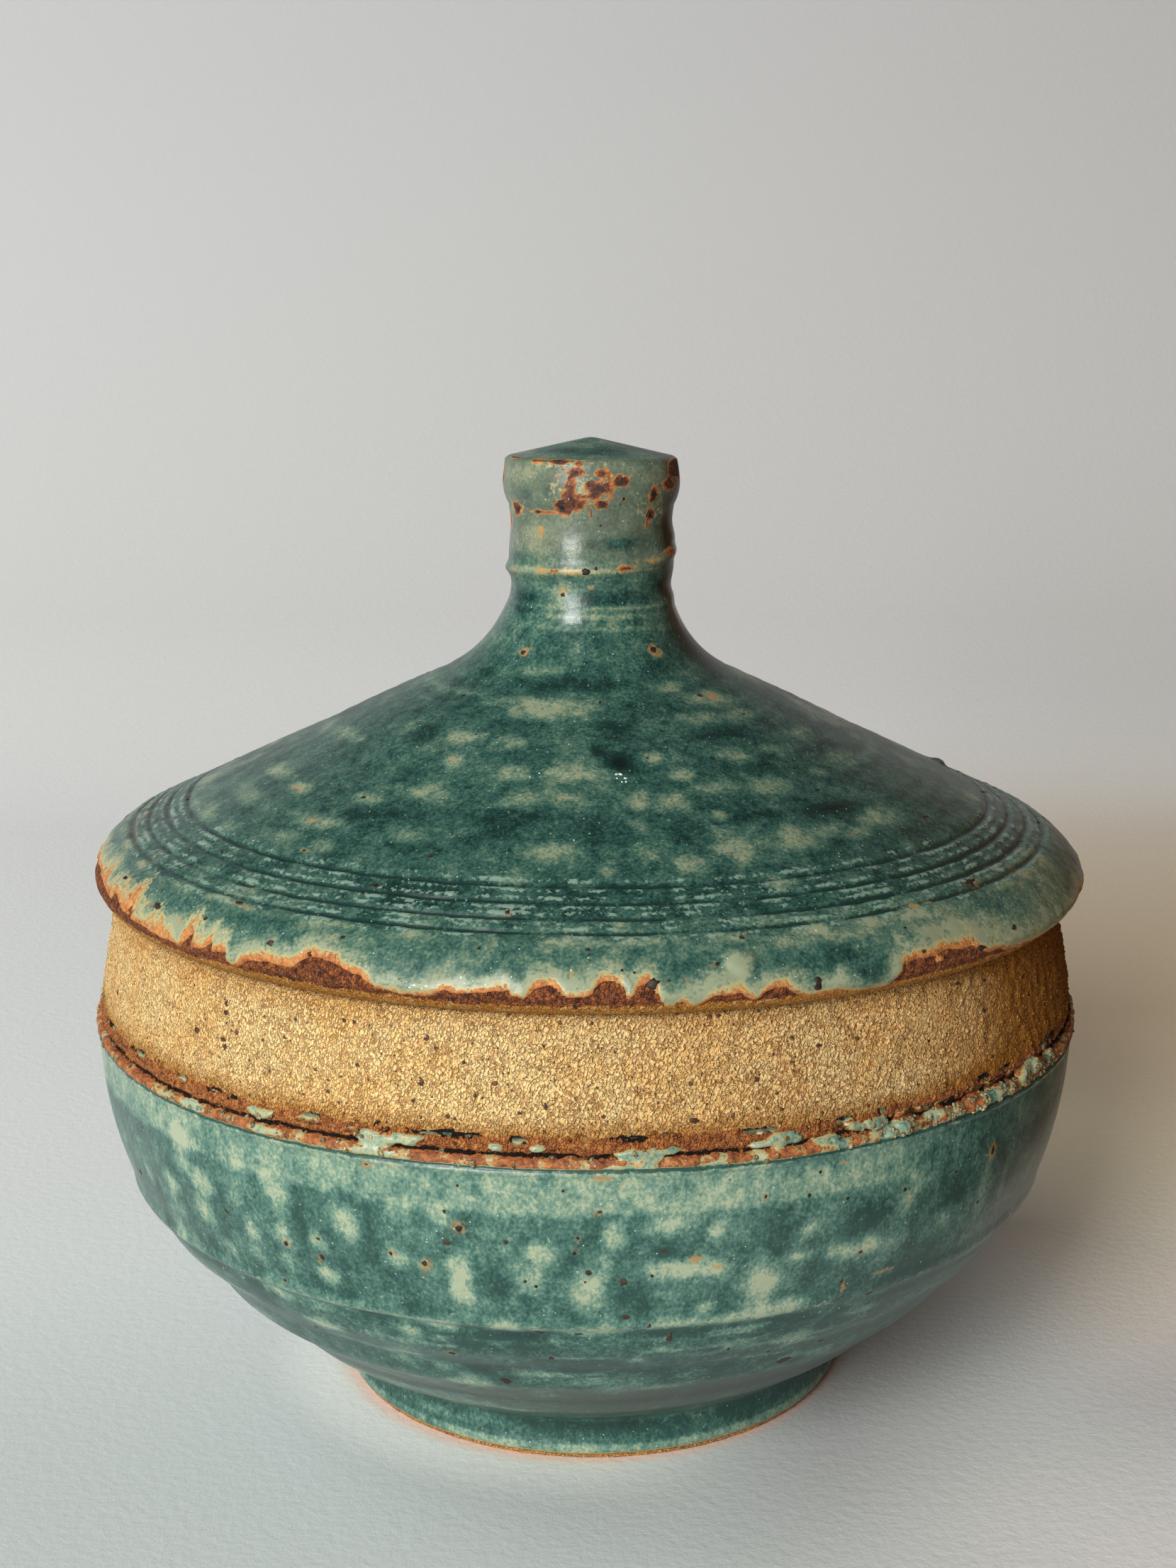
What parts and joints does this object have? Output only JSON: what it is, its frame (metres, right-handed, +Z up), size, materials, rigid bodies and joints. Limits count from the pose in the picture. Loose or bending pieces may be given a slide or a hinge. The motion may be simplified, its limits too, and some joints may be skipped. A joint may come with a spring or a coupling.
{
  "type": "stoneware bean pot",
  "caption": "Round stoneware pot on a turned foot ring, with a low conical lid that lifts off by its tall knob; glazed apart from the bare clay band under the lid.",
  "frame": {"origin": "centre of the flat ring that the pot stands on, at the bottom of the part", "axes": "+Z up along the pot's axis; the part is round, so +X and +Y are any two level directions, with -Y towards the viewer"},
  "size_m": [0.17, 0.1698, 0.1641],
  "materials": {
    "bare_clay": "matt, sandy, unglazed buff-orange stoneware with iron specks",
    "teal_glaze": "satin-gloss mottled teal glaze with pale green blotches, breaking rust brown",
    "liner_glaze": "satin-gloss pale green glaze"
  },
  "bodies": {
    "pot": {"foot_ring": "bare_clay", "bowl": "bare_clay", "bowl_glaze": "teal_glaze", "liner_glaze": "liner_glaze"},
    "lid": {"lid_dome": "bare_clay", "lid_flange": "bare_clay", "lid_knob": "bare_clay", "lid_glaze": "teal_glaze"}
  },
  "joints": [
    {"name": "lid_lift", "type": "slide", "parent": "pot", "child": "lid", "axis": [0, 0, 1], "range_m": [0, 0.1]}
  ]
}
